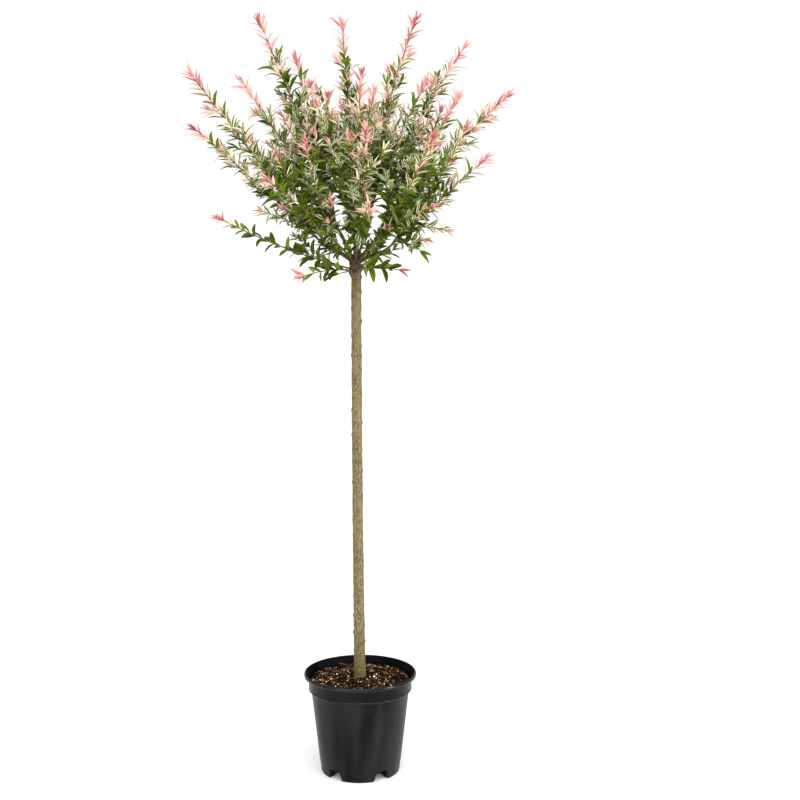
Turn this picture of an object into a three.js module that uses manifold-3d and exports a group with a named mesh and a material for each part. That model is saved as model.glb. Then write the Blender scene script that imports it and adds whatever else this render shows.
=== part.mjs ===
// Potted dappled willow standard: a willow crown grafted on a straight stem, grown in a
// round plastic nursery pot. Millimetres, +Z up. The origin is on the ground under the
// middle of the pot, +X is to the right and the front of the plant looks along -Y.
import * as THREE from 'three';
import { mergeVertices } from 'three/addons/utils/BufferGeometryUtils.js';
import Module from 'manifold-3d';

const wasm = await Module();
wasm.setup();

// Clearance that a piece keeps to the one it is seated on or in
const SEAT_GAP = 0.3;

// Pot
const POT_HEIGHT = 171;
const RIM_RADIUS = 95;
const LIP_HEIGHT = 7;
const LIP_THICKNESS = 4.5;
const BAND_RADIUS = 87.5;
const BAND_HEIGHT = 22;
const BAND_SLOPE = 5;
const WALL_TOP_RADIUS = 82.3;
const WALL_FOOT_RADIUS = 66.8;
const WALL_THICKNESS = 2;
const FLOOR_HEIGHT = 12;
const FOOT_RING_INNER = 57;
const FOOT_CHAMFER = 2;
const POT_SIDES = 36;
const FOOT_COUNT = 5;
const NOTCH_HEIGHT = 17;
const NOTCH_WIDTH_LOW = 29;
const NOTCH_WIDTH_HIGH = 20;

// Soil
const SOIL_RIM_HEIGHT = 156;
const SOIL_CROWN_HEIGHT = 160;
const SOIL_SEAT_RADIUS = 16;
const SOIL_GAP = 0.4;

// Stem, from its flat foot on the soil to the middle of the graft head
const STEM_FOOT = [-1, 0, SOIL_CROWN_HEIGHT + SEAT_GAP];
const STEM_BOW = [-6.5, 2, 400];
const HEAD = [-6, 0, 858];
const STEM_FOOT_RADIUS = 9.1;
const STEM_TOP_RADIUS = 8;
const FLARE = 1.1;
const FLARE_HEIGHT = 30;
const NODE_SWELL = 0.6;
const STEM_SIDES = 9;
const STEM_STEPS = 20;
const HEAD_RADIUS = 11.5;
const HEAD_STRETCH = 1.22;
const HEAD_SIDES = 10;
const KNOB_COUNT = 5;
const KNOB_RADIUS = 4.6;
const KNOB_DEPTH = 2;
const KNOB_SIDES = 6;

// Boughs, each one tapering limb from the graft head to the foot of its foliage mass.
// A row gives the limb's bearing (0 is +X, 90 is the back), rise and length, then the
// bearing, rise and length of its main whips, measured from the middle of the head.
const BOUGHS = [
  { name: 'middle', limb: [95, 86, 66], whips: [[128, 85, 405]] },
  { name: 'upper_left', limb: [199, 63, 70], whips: [[202, 67, 426]] },
  { name: 'upper_right', limb: [332, 66, 70], whips: [[343, 75, 413], [317, 58, 332]] },
  { name: 'upper_front', limb: [268, 59, 62], whips: [[269, 65, 331]] },
  { name: 'upper_back', limb: [72, 60, 66], whips: [[69, 62, 386]] },
  { name: 'back_left', limb: [139, 55, 68], whips: [[147, 52, 391], [131, 66, 388]] },
  { name: 'right', limb: [16, 47, 70], whips: [[22, 44, 410], [20, 61, 421]] },
  { name: 'back_right', limb: [51, 30, 64], whips: [[47, 46, 393], [36, 27, 240]] },
  { name: 'back', limb: [92, 30, 62], whips: [[92, 44, 362], [92, 24, 275]] },
  { name: 'left_back', limb: [165, 30, 62], whips: [[178, 38, 345], [140, 22, 243]] },
  { name: 'left', limb: [206, 35, 70], whips: [[210, 43, 411]] },
  { name: 'left_front', limb: [242, 29, 58], whips: [[251, 41, 299], [231, 31, 265]] },
  { name: 'front', limb: [274, 26, 58], whips: [[274, 40, 335], [275, 20, 272]] },
  { name: 'front_right', limb: [305, 30, 58], whips: [[304, 43, 303], [304, 22, 250]] },
  { name: 'low_right', limb: [340, 22, 58], whips: [[340, 36, 291], [339, 13, 175]] },
];

// Thin shoots that spring straight from the stem below the head: the height of the foot,
// then bearing, rise and length of the whip from the middle of the head
const SHOOTS = [
  { name: 'thin_left', foot: 848, whips: [[202, 18, 249]] },
  { name: 'hanging_left', foot: 842, whips: [[216, -11, 114]] },
  { name: 'hanging_right', foot: 845, whips: [[317, -6, 118]] },
  { name: 'hanging_back', foot: 850, whips: [[70, 4, 130]] },
];
const SHOOT_START_RISE = 28;

// Thickness of the wood
const BOUGH_RADIUS_BASE = 1.7;
const BOUGH_RADIUS_PER_MM = 0.003;
const BOUGH_TAPER = 0.72;
const BOUGH_ARCH = 5;
const BOUGH_START = 5;
const BOUGH_SIDES = 6;
const BOUGH_STEPS = 3;
const WHIP_TIP_RADIUS = 0.95;
const SIDE_WHIP_RADIUS = 1.5;
const FORK_SHARE = 0.06;
const FORK_TURN = 0.7;
const SECOND_WHIP_SHARE = 0.85;
const WHIP_BEND = 0.3;
const TWIG_STEP = 110;
const SHOOT_RADIUS = 1.9;

// Crown: how far it reaches from the head level with it and towards its top
const CROWN_REACH_LEVEL = 190;
const CROWN_REACH_TOP = 390;
const CROWN_TOP_RISE = 55;

// Rule for the side whips of a mass: how many, where along a main whip they fork, how
// wide in degrees they stand from it, and which share of the crown's reach they have
const SEED = 41;
const SIDE_WHIPS = 3;
const GOLDEN_ANGLE = 137.5;
const SIDE_FORK = [0.06, 0.36];
const SIDE_SPREAD = [13, 21];
const SIDE_REACH = [0.66, 0.94];
const SIDE_EASINGS = [1, 0.8, 0.6, 0.4];
const SIDE_TESTS = [0.15, 0.4, 0.7, 1];

// Leaves: larger than life towards the inside of the crown, since they are fewer
const LEAF_LENGTH_INNER = 62;
const LEAF_LENGTH_TIP = 40;
const LEAF_WIDTH_INNER = 23;
const LEAF_WIDTH_TIP = 12;
const LEAF_ANGLE_INNER = 52;
const LEAF_ANGLE_TIP = 24;
const LEAF_SPACING_INNER = 34;
const LEAF_SPACING_TIP = 24;
const LEAF_ROOT_HALF = 0.35;
const LEAF_MIDRIB = 0.8;
const LEAF_WAIST = 0.42;
const LEAF_FIRST = 20;
const LEAF_PAST_TIP = 3;
const LEAF_TURNS = [0, 50, -50, 100];
const TUFT_LENGTH = 24;
const TUFT_WIDTH = 9.6;

// Clearances: between leaves of one mass, from its twigs, from limbs and between masses
const LEAF_APART = 10;
const TWIG_APART = 6;
const LIMB_MARGIN = 0.8;
const SPACE_MARGIN = 0.4;
const BLADE_SHARES = [0.25, 0.5, 0.75, 1];
const SAMPLES = 24;
const SHORTEST_EDGE = 0.01;
const AIM_SHARE = 0.65;

const UP = new THREE.Vector3(0, 0, 1);
const headCentre = new THREE.Vector3(...HEAD);

function direction(bearing, rise) {
  const b = THREE.MathUtils.degToRad(bearing);
  const r = THREE.MathUtils.degToRad(rise);
  return new THREE.Vector3(Math.cos(b) * Math.cos(r), Math.sin(b) * Math.cos(r), Math.sin(r));
}

// Solids and meshes

function solidOf(geometry) {
  const bare = geometry.clone();
  bare.deleteAttribute('normal');
  bare.deleteAttribute('uv');
  const merged = mergeVertices(bare, 1e-4);
  return new wasm.Manifold(new wasm.Mesh({
    numProp: 3,
    vertProperties: new Float32Array(merged.attributes.position.array),
    triVerts: new Uint32Array(merged.index.array),
  }));
}

function geometryOf(solid) {
  const mesh = solid.getMesh();
  const geometry = new THREE.BufferGeometry();
  geometry.setAttribute('position', new THREE.BufferAttribute(mesh.vertProperties, 3));
  geometry.setIndex(new THREE.BufferAttribute(mesh.triVerts, 1));
  return geometry;
}

function meshOf(name, geometry, material) {
  const mesh = new THREE.Mesh(geometry, material);
  mesh.name = name;
  return mesh;
}

// A round limb: a cylinder bent along a curve, with a radius for each share of its length
function limbGeometry(curve, radiusAt, sides, steps, from = 0, to = 1) {
  const geometry = new THREE.CylinderGeometry(1, 1, 1, sides, steps);
  const position = geometry.attributes.position;
  const start = curve.getTangent(from);
  const side = Math.abs(start.z) > 0.97 ? new THREE.Vector3(1, 0, 0) : start.clone().cross(UP);
  for (let i = 0; i < position.count; i++) {
    const t = from + (to - from) * (position.getY(i) + 0.5);
    const along = curve.getTangent(t);
    const across = side.clone().addScaledVector(along, -side.dot(along)).normalize();
    const outward = across.clone().cross(along);
    const point = curve.getPoint(t)
      .addScaledVector(across, position.getX(i) * radiusAt(t))
      .addScaledVector(outward, position.getZ(i) * radiusAt(t));
    position.setXYZ(i, point.x, point.y, point.z);
  }
  return geometry;
}

// Pot: one wall turned round the axis, with a rolled lip, a band under it and a ring foot
// that five notches divide into feet

const bandTop = POT_HEIGHT - LIP_HEIGHT;
const bandFoot = bandTop - BAND_HEIGHT;
const wallTop = bandFoot - BAND_SLOPE;
const floorTop = FLOOR_HEIGHT + WALL_THICKNESS;
const innerBandRadius = BAND_RADIUS - WALL_THICKNESS;

function wallRadius(z) {
  return THREE.MathUtils.mapLinear(z, 0, wallTop, WALL_FOOT_RADIUS, WALL_TOP_RADIUS);
}

function potGeometry() {
  const profile = [
    [0, FLOOR_HEIGHT],
    [FOOT_RING_INNER - FOOT_CHAMFER, FLOOR_HEIGHT],
    [FOOT_RING_INNER, 0],
    [wallRadius(0) - FOOT_CHAMFER, 0],
    [wallRadius(FOOT_CHAMFER), FOOT_CHAMFER],
    [wallRadius(wallTop), wallTop],
    [BAND_RADIUS - 1, bandFoot],
    [BAND_RADIUS, bandTop],
    [RIM_RADIUS - 1, bandTop],
    [RIM_RADIUS, bandTop + LIP_HEIGHT / 2],
    [RIM_RADIUS - 1, POT_HEIGHT - 1],
    [RIM_RADIUS - LIP_THICKNESS / 2, POT_HEIGHT],
    [RIM_RADIUS - LIP_THICKNESS, POT_HEIGHT - 2],
    [innerBandRadius, bandTop - 2],
    [innerBandRadius - 1, bandFoot],
    [wallRadius(wallTop) - WALL_THICKNESS, wallTop],
    [wallRadius(floorTop) - WALL_THICKNESS, floorTop],
    [0, floorTop],
  ];
  const points = profile.map(([r, z]) => new THREE.Vector2(r, z));
  const turned = new THREE.LatheGeometry(points, POT_SIDES);
  turned.rotateX(Math.PI / 2);
  let pot = solidOf(turned);
  for (let i = 0; i < FOOT_COUNT; i++) {
    pot = pot.subtract(solidOf(notchGeometry(i)));
  }
  return geometryOf(pot);
}

// One notch between two feet, wider at the ground, cut outwards through the ring foot
function notchGeometry(index) {
  const below = 1;
  const outline = new THREE.Shape();
  outline.moveTo(-NOTCH_WIDTH_LOW / 2, -below);
  outline.lineTo(NOTCH_WIDTH_LOW / 2, -below);
  outline.lineTo(NOTCH_WIDTH_HIGH / 2, NOTCH_HEIGHT);
  outline.lineTo(-NOTCH_WIDTH_HIGH / 2, NOTCH_HEIGHT);
  outline.closePath();
  const depth = wallRadius(NOTCH_HEIGHT);
  const notch = new THREE.ExtrudeGeometry(outline, { depth, bevelEnabled: false });
  notch.rotateX(Math.PI / 2);
  notch.translate(0, -(FOOT_RING_INNER - FOOT_CHAMFER) + below, 0);
  const betweenFeet = index + 0.5;
  notch.rotateZ(THREE.MathUtils.degToRad(betweenFeet * 360 / FOOT_COUNT));
  return notch;
}

// Soil: fills the pot to just below the rim, a little higher round the stem
function soilGeometry() {
  const clearance = WALL_THICKNESS + SOIL_GAP;
  const shoulderHeight = (SOIL_RIM_HEIGHT + SOIL_CROWN_HEIGHT) / 2 + 1;
  const rimRadius = innerBandRadius - 1 - SOIL_GAP;
  const profile = [
    [0, floorTop + SEAT_GAP],
    [wallRadius(floorTop) - clearance, floorTop + SEAT_GAP],
    [wallRadius(wallTop) - clearance, wallTop],
    [rimRadius, bandFoot + SOIL_GAP],
    [rimRadius, SOIL_RIM_HEIGHT],
    [(rimRadius + SOIL_SEAT_RADIUS) / 2, shoulderHeight],
    [SOIL_SEAT_RADIUS, SOIL_CROWN_HEIGHT],
    [0, SOIL_CROWN_HEIGHT],
  ];
  const points = profile.map(([r, z]) => new THREE.Vector2(r, z));
  const soil = new THREE.LatheGeometry(points, POT_SIDES);
  soil.rotateX(Math.PI / 2);
  return geometryOf(solidOf(soil));
}

// Stem: a slightly bowed pole with a flat flared foot and a swelling at each node,
// ending in the knobbly head where the crown was grafted

const stemCurve = new THREE.QuadraticBezierCurve3(
  new THREE.Vector3(...STEM_FOOT), new THREE.Vector3(...STEM_BOW), headCentre,
);

function stemRadius(t) {
  const height = (HEAD[2] - STEM_FOOT[2]) * t;
  const taper = THREE.MathUtils.lerp(STEM_FOOT_RADIUS, STEM_TOP_RADIUS, t);
  const atNode = Math.round(t * STEM_STEPS) % 2 === 1 ? NODE_SWELL : 0;
  return taper + atNode + FLARE * Math.exp(-height / FLARE_HEIGHT);
}

function stemSolid(margin) {
  const pole = limbGeometry(stemCurve, (t) => stemRadius(t) + margin, STEM_SIDES, STEM_STEPS);
  let stem = solidOf(pole);
  const head = new THREE.SphereGeometry(HEAD_RADIUS + margin, HEAD_SIDES, HEAD_SIDES / 2 + 1);
  head.rotateX(Math.PI / 2);
  head.scale(1, 1, HEAD_STRETCH);
  head.translate(...HEAD);
  stem = stem.add(solidOf(head));
  for (let i = 0; i < KNOB_COUNT; i++) {
    const knob = new THREE.SphereGeometry(KNOB_RADIUS + margin, KNOB_SIDES, KNOB_SIDES / 2 + 1);
    const place = direction((i + 0.35) * 360 / KNOB_COUNT, i % 2 ? -38 : -14);
    const centre = headCentre.clone().addScaledVector(place, HEAD_RADIUS - KNOB_DEPTH);
    knob.translate(centre.x, centre.y, centre.z);
    stem = stem.add(solidOf(knob));
  }
  return stem;
}

// Boughs

function boughRadius(bough) {
  const longest = Math.max(...bough.whips.map((whip) => whip[2]));
  return BOUGH_RADIUS_BASE + BOUGH_RADIUS_PER_MM * longest;
}

// A low bough leaves the head more steeply than it goes on
function boughCurve([bearing, rise, length]) {
  const steeper = BOUGH_ARCH * Math.cos(THREE.MathUtils.degToRad(rise));
  const aim = direction(bearing, rise);
  const start = headCentre.clone().addScaledVector(aim, BOUGH_START);
  const end = headCentre.clone().addScaledVector(aim, length);
  const bend = start.clone().addScaledVector(direction(bearing, rise + steeper), length * 0.5);
  return new THREE.QuadraticBezierCurve3(start, bend, end);
}

for (const bough of BOUGHS) {
  const radius = boughRadius(bough);
  bough.curve = boughCurve(bough.limb);
  bough.radiusAt = (t) => radius * THREE.MathUtils.lerp(1, BOUGH_TAPER, t);
}

// Points along every limb with the distance that foliage keeps from them
const keepOff = [];
for (let i = 0; i <= SAMPLES; i++) {
  const t = i / SAMPLES;
  keepOff.push({ point: stemCurve.getPoint(t), reach: HEAD_RADIUS + LIMB_MARGIN });
  for (const bough of BOUGHS) {
    keepOff.push({ point: bough.curve.getPoint(t), reach: bough.radiusAt(t) + LIMB_MARGIN });
  }
}

// Foliage masses. Each keeps to the directions from the head that lie nearer to one of
// its own main whips than to any whip of another mass.

const masses = [...BOUGHS, ...SHOOTS];
for (const mass of masses) {
  mass.mains = mainWhips(mass);
  mass.aims = mass.mains.map((whip) =>
    whip.curve.getPoint(AIM_SHARE).sub(headCentre).normalize());
}

function insideSpace(points, mass) {
  const others = masses.filter((other) => other !== mass).flatMap((other) => other.aims);
  return mass.aims.some((aim) => others.every((other) => {
    const across = aim.clone().sub(other).normalize();
    return points.every((p) => p.clone().sub(headCentre).dot(across) > SPACE_MARGIN);
  }));
}

function clearOfLimbs(points) {
  return points.every((p) => keepOff.every(({ point, reach }) => p.distanceTo(point) > reach));
}

// The same numbers between 0 and 1 for the same seed, every time
function seeded(seed) {
  let state = seed;
  return () => {
    state = (state + 0x6D2B79F5) | 0;
    let mixed = Math.imul(state ^ (state >>> 15), 1 | state);
    mixed = (mixed + Math.imul(mixed ^ (mixed >>> 7), 61 | mixed)) ^ mixed;
    return ((mixed ^ (mixed >>> 14)) >>> 0) / 4294967296;
  };
}

// A whip leaves its foot along the given direction and bends to its tip. The twig itself
// ends where the leaves of the tuft take over, and is made of a few straight steps.
function whipFrom(foot, along, tip, radius) {
  const bend = foot.clone().addScaledVector(along, WHIP_BEND * foot.distanceTo(tip));
  const curve = new THREE.QuadraticBezierCurve3(foot, bend, tip);
  const length = curve.getLength();
  const steps = Math.max(2, Math.round(length / TWIG_STEP));
  const tipPace = 2 * bend.distanceTo(tip);
  return { curve, radius, length, steps, tipPace, end: 1 - TUFT_LENGTH / tipPace };
}

// A place on the straight steps that the twig is made of
function onTwig(whip, t) {
  const step = Math.min(Math.floor(t / whip.end * whip.steps), whip.steps - 1);
  const from = whip.curve.getPoint(whip.end * step / whip.steps);
  const to = whip.curve.getPoint(whip.end * (step + 1) / whip.steps);
  return from.lerp(to, t / whip.end * whip.steps - step);
}

function mainWhips(mass) {
  const tips = mass.whips.map(([bearing, rise, length]) =>
    headCentre.clone().addScaledVector(direction(bearing, rise), length));
  let foot = new THREE.Vector3(HEAD[0], HEAD[1], mass.foot);
  let along = direction(mass.whips[0][0], SHOOT_START_RISE);
  let radius = SHOOT_RADIUS;
  if (mass.curve) {
    along = mass.curve.getTangent(1);
    foot = mass.curve.getPoint(1).addScaledVector(along, SEAT_GAP);
    radius = mass.radiusAt(1);
  }
  const first = whipFrom(foot, along, tips[0], radius);
  const forked = tips.slice(1).map((tip) =>
    forkedWhip(first, FORK_SHARE, tip, SECOND_WHIP_SHARE * radius));
  return [first, ...forked];
}

// A whip that forks off another at a share of its length and turns to its own tip
function forkedWhip(parent, at, tip, radius) {
  const foot = onTwig(parent, at);
  const straight = tip.clone().sub(foot).normalize();
  const along = parent.curve.getTangent(at).lerp(straight, FORK_TURN).normalize();
  return whipFrom(foot, along, tip, radius);
}

function crownReach(rise) {
  const share = THREE.MathUtils.smoothstep(rise, 0, CROWN_TOP_RISE);
  return THREE.MathUtils.lerp(CROWN_REACH_LEVEL, CROWN_REACH_TOP, share);
}

// Side whips fork off the main whips at seeded places. Their tips stand round the main
// whip's by the golden angle, and draw closer to it until they fit the mass's space.
function sideWhips(mass, random) {
  const between = ([low, high]) => THREE.MathUtils.lerp(low, high, random());
  const whips = [];
  const count = mass.curve ? SIDE_WHIPS : 1;
  let turn = 360 * random();
  for (let i = 0; i < count; i++) {
    const index = i % mass.mains.length;
    const at = between(SIDE_FORK);
    const spread = between(SIDE_SPREAD);
    const share = between(SIDE_REACH);
    turn += GOLDEN_ANGLE;
    for (const ease of SIDE_EASINGS) {
      const aim = turnedAway(mass.aims[index], turn, spread * ease);
      const rise = THREE.MathUtils.radToDeg(Math.asin(aim.z));
      const reach = mass.curve ? crownReach(rise) : mass.whips[0][2];
      const tip = headCentre.clone().addScaledVector(aim, reach * share);
      const whip = forkedWhip(mass.mains[index], at, tip, SIDE_WHIP_RADIUS);
      if (insideSpace(SIDE_TESTS.map((t) => whip.curve.getPoint(t)), mass)) {
        whips.push(whip);
        break;
      }
    }
  }
  return whips;
}

// A direction that leans away from an axis by an angle, towards a turn about it
function turnedAway(axis, turn, angle) {
  const around = THREE.MathUtils.degToRad(turn);
  const away = THREE.MathUtils.degToRad(angle);
  const across = axis.clone().cross(Math.abs(axis.z) > 0.97 ? new THREE.Vector3(1, 0, 0) : UP);
  across.normalize();
  const outward = axis.clone().cross(across);
  return axis.clone().multiplyScalar(Math.cos(away))
    .addScaledVector(across, Math.sin(away) * Math.cos(around))
    .addScaledVector(outward, Math.sin(away) * Math.sin(around));
}

// A leaf: an octahedron whose corners become the tip, both sides, the raised midrib and
// a root edge that stands in the twig
function leafGeometry(root, along, upward, length, width) {
  const across = upward.clone().cross(along);
  const place = (x, y, z) => root.clone().addScaledVector(along, x)
    .addScaledVector(across, y).addScaledVector(upward, z);
  const waist = LEAF_WAIST * length;
  const sides = [place(waist, width / 2, 0), place(waist, -width / 2, 0)];
  const forward = [place(length, 0, 0), sides[0], place(waist, 0, LEAF_MIDRIB)];
  const backward = [place(0, 0, LEAF_ROOT_HALF), sides[1], place(0, 0, -LEAF_ROOT_HALF)];
  const leaf = new THREE.OctahedronGeometry(1, 0);
  const position = leaf.attributes.position;
  for (let i = 0; i < position.count; i++) {
    const axis = [0, 1, 2].find((k) => Math.abs(position.getComponent(i, k)) > 0.5);
    const corner = (position.getComponent(i, axis) > 0 ? forward : backward)[axis];
    position.setXYZ(i, corner.x, corner.y, corner.z);
  }
  return { leaf, sides, corners: [...forward, ...backward] };
}

// Adds a leaf to a mass if it keeps to the mass's space and clear of its limbs and leaves
function addLeaf(mass, whip, t, turn, angle, length, width) {
  const along = whip.curve.getTangent(t);
  const leafAlong = turnedAway(along, turn, angle);
  const upward = along.clone().addScaledVector(leafAlong, -along.dot(leafAlong)).normalize();
  const root = onTwig(whip, t);
  const { leaf, sides, corners } = leafGeometry(root, leafAlong, upward, length, width);
  const midline = BLADE_SHARES.map((share) =>
    root.clone().addScaledVector(leafAlong, share * length));
  const blade = [...midline, ...sides];
  const apart = blade.every((p) => mass.blades.every((q) => p.distanceTo(q) > LEAF_APART)
    && mass.twigs.every((twig) => twig.whip === whip || p.distanceTo(twig.point) > TWIG_APART));
  const reach = whip.curve.getPoint(1).distanceTo(headCentre) + LEAF_PAST_TIP;
  const short = blade.every((p) => p.distanceTo(headCentre) <= reach);
  const fits = apart && short && insideSpace(corners, mass) && clearOfLimbs(blade);
  if (fits) {
    mass.leaves.push(leaf);
    mass.blades.push(...blade);
  }
  return fits;
}

// Leaves stand round a whip from its lower part to the tuft at its tip
function whipLeaves(whip, mass, random) {
  const { lerp } = THREE.MathUtils;
  let along = LEAF_FIRST;
  let turn = 360 * random();
  while (along < whip.length - TUFT_LENGTH) {
    const share = along / whip.length;
    const t = whip.curve.getUtoTmapping(share);
    const angle = lerp(LEAF_ANGLE_INNER, LEAF_ANGLE_TIP, share);
    const length = lerp(LEAF_LENGTH_INNER, LEAF_LENGTH_TIP, share);
    const width = lerp(LEAF_WIDTH_INNER, LEAF_WIDTH_TIP, share);
    for (const shift of LEAF_TURNS) {
      if (addLeaf(mass, whip, t, turn + shift, angle, length, width)) {
        break;
      }
    }
    along += lerp(LEAF_SPACING_INNER, LEAF_SPACING_TIP, share) * (0.85 + 0.3 * random());
    turn += GOLDEN_ANGLE;
  }
}

// The tuft at a whip's tip: one leaf straight on and two beside it
function tuftLeaves(whip, mass, random) {
  const turn = 360 * random();
  addLeaf(mass, whip, whip.end - 4 / whip.tipPace, turn, 3, TUFT_LENGTH + 4, TUFT_WIDTH);
  addLeaf(mass, whip, whip.end - 10 / whip.tipPace, turn + 100, 24, TUFT_LENGTH, TUFT_WIDTH);
  addLeaf(mass, whip, whip.end - 16 / whip.tipPace, turn + 250, 27, TUFT_LENGTH, TUFT_WIDTH);
}

function foliageSolid(mass, index) {
  const random = seeded(SEED + index);
  const whips = [...mass.mains, ...sideWhips(mass, random)];
  mass.leaves = [];
  mass.blades = [];
  mass.twigs = whips.flatMap((whip) => Array.from({ length: SAMPLES }, (_, i) =>
    ({ whip, point: onTwig(whip, whip.end * i / SAMPLES) })));
  whips.forEach((whip) => tuftLeaves(whip, mass, random));
  whips.forEach((whip) => whipLeaves(whip, mass, random));
  const twigs = whips.map((whip) => {
    const radiusAt = (t) => THREE.MathUtils.lerp(whip.radius, WHIP_TIP_RADIUS, t);
    return limbGeometry(whip.curve, radiusAt, 3, whip.steps, 0, whip.end);
  });
  const joined = [...twigs, ...mass.leaves].map(solidOf).reduce((all, piece) => all.add(piece));
  return joined.simplify(SHORTEST_EDGE);
}

// Materials

const plastic = () => new THREE.MeshStandardMaterial({ color: 0x2f2f2e, roughness: 0.5 });
const peat = () => new THREE.MeshStandardMaterial({ color: 0x4a3220, roughness: 1 });
const bark = () => new THREE.MeshStandardMaterial({ color: 0x8a7a55, roughness: 0.85 });
const FOLIAGE_GREEN = 0x5f7036;
const FOLIAGE_CREAM = 0xb9b184;
const FOLIAGE_PINK = 0xd99a90;

// Low masses are green, the middle ones mottled with cream and the upper ones pink
function foliageMaterial(mass) {
  const rise = mass.whips[0][1];
  let color = FOLIAGE_GREEN;
  if (rise > 38) {
    color = FOLIAGE_CREAM;
  }
  if (rise > 55) {
    color = FOLIAGE_PINK;
  }
  return new THREE.MeshStandardMaterial({ color, roughness: 0.7, flatShading: true });
}

// Assembly

const plant = new THREE.Group();
plant.add(meshOf('pot', potGeometry(), plastic()));
plant.add(meshOf('soil', soilGeometry(), peat()));
plant.add(meshOf('trunk', geometryOf(stemSolid(0)), bark()));

const stemSeat = stemSolid(SEAT_GAP);
for (const bough of BOUGHS) {
  const limb = solidOf(limbGeometry(bough.curve, bough.radiusAt, BOUGH_SIDES, BOUGH_STEPS));
  plant.add(meshOf(`bough_${bough.name}`, geometryOf(limb.subtract(stemSeat)), bark()));
}
masses.forEach((mass, index) => {
  const foliage = foliageSolid(mass, index);
  const seated = mass.curve ? foliage : foliage.subtract(stemSeat);
  plant.add(meshOf(`foliage_${mass.name}`, geometryOf(seated), foliageMaterial(mass)));
});

export default plant;
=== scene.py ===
from math import asin, atan2, cos, degrees, exp, hypot, pi, radians, sin, sqrt

import bpy
import numpy as np
from mathutils import Matrix, Vector, noise


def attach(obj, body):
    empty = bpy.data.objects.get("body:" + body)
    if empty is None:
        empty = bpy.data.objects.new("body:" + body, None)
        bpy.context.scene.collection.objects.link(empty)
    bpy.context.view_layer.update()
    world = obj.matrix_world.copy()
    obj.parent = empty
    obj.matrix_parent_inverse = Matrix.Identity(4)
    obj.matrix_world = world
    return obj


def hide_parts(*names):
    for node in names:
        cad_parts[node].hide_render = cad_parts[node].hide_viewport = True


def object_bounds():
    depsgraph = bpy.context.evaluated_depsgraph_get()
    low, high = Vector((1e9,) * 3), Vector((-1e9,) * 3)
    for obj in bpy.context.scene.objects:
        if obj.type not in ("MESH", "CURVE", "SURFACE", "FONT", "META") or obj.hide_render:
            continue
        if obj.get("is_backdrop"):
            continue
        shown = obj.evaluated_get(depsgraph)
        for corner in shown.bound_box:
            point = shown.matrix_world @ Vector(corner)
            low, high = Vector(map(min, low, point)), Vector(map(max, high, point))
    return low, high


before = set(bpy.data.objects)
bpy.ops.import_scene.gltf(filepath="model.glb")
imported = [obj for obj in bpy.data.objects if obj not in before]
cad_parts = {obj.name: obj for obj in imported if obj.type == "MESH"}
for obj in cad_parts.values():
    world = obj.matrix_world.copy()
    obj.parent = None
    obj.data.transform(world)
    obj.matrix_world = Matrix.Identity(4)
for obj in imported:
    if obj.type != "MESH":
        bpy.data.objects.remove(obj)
cad_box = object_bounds()
bpy.ops.object.select_all(action="DESELECT")


# Nursery pot
# A round pot of black polypropylene, injection moulded in one go: a rolled lip, a stacking
# band under it, a slightly tapered wall and a raised floor on a ring that five gaps cut
# into feet, so that water drains away. The plastic has a fine satin grain.

POT_HEIGHT = 0.171
RIM_RADIUS = 0.095
BAND_TOP = 0.164
BAND_FOOT = 0.142
WALL_TOP = 0.137
BAND_RADIUS = 0.0875
WALL_TOP_RADIUS = 0.0823
WALL_FOOT_RADIUS = 0.0668
WALL_THICKNESS = 0.002
FLOOR_UNDERSIDE = 0.012
FLOOR_TOP = 0.014
FOOT_RING_INNER = 0.057
POT_SIDES = 180
FEET = 5
GAP_HEIGHT = 0.017
GAP_LOW_WIDTH = 0.029
GAP_HIGH_WIDTH = 0.020
GAP_DEPTH = 0.04
GAP_BELOW = 0.001
GAP_TURN = -94.0
GRAIN_BUMP = 0.00035


def wall_radius(height):
    """Outer radius of the tapered wall at a height."""
    return WALL_FOOT_RADIUS + (WALL_TOP_RADIUS - WALL_FOOT_RADIUS) * height / WALL_TOP


def deselect():
    """Leaves nothing selected."""
    bpy.ops.object.select_all(action="DESELECT")


def pick_out(*pieces):
    """Leaves pieces selected by themselves, the first of them active."""
    deselect()
    for piece in pieces:
        piece.select_set(True)
    bpy.context.view_layer.objects.active = pieces[0]


def settle(piece, name):
    """Names a piece, puts its place in its mesh and leaves it picked out."""
    pick_out(piece)
    bpy.ops.object.transform_apply(location=True, rotation=True, scale=True)
    piece.name = piece.data.name = name
    return piece


def face_outwards(piece):
    """Turns every face of a closed piece outwards."""
    bpy.context.view_layer.objects.active = piece
    bpy.ops.object.mode_set(mode="EDIT")
    bpy.ops.mesh.select_all(action="SELECT")
    bpy.ops.mesh.normals_make_consistent(inside=False)
    bpy.ops.object.mode_set(mode="OBJECT")
    return piece


def drawn_up(rings, sides):
    """A closed body drawn up from a disc, extruded and scaled from ring to ring."""
    radius, height = rings[0]
    deselect()
    bpy.ops.mesh.primitive_circle_add(
        vertices=sides, radius=radius, fill_type="NGON", location=(0, 0, height)
    )
    bpy.ops.object.mode_set(mode="EDIT")
    bpy.ops.mesh.select_all(action="SELECT")
    for next_radius, next_height in rings[1:]:
        rise = (0, 0, next_height - height)
        bpy.ops.mesh.extrude_region_move(TRANSFORM_OT_translate={"value": rise})
        share = next_radius / radius
        bpy.ops.transform.resize(value=(share, share, 1), center_override=(0, 0, next_height))
        radius, height = next_radius, next_height
    bpy.ops.object.mode_set(mode="OBJECT")
    return face_outwards(bpy.context.object)


def finish_with(piece, kind, **settings):
    """Adds one modifier to a piece and applies it."""
    bpy.context.view_layer.objects.active = piece
    modifier = piece.modifiers.new(kind.title(), kind)
    for setting, value in settings.items():
        setattr(modifier, setting, value)
    bpy.ops.object.modifier_apply(modifier=modifier.name)


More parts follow.
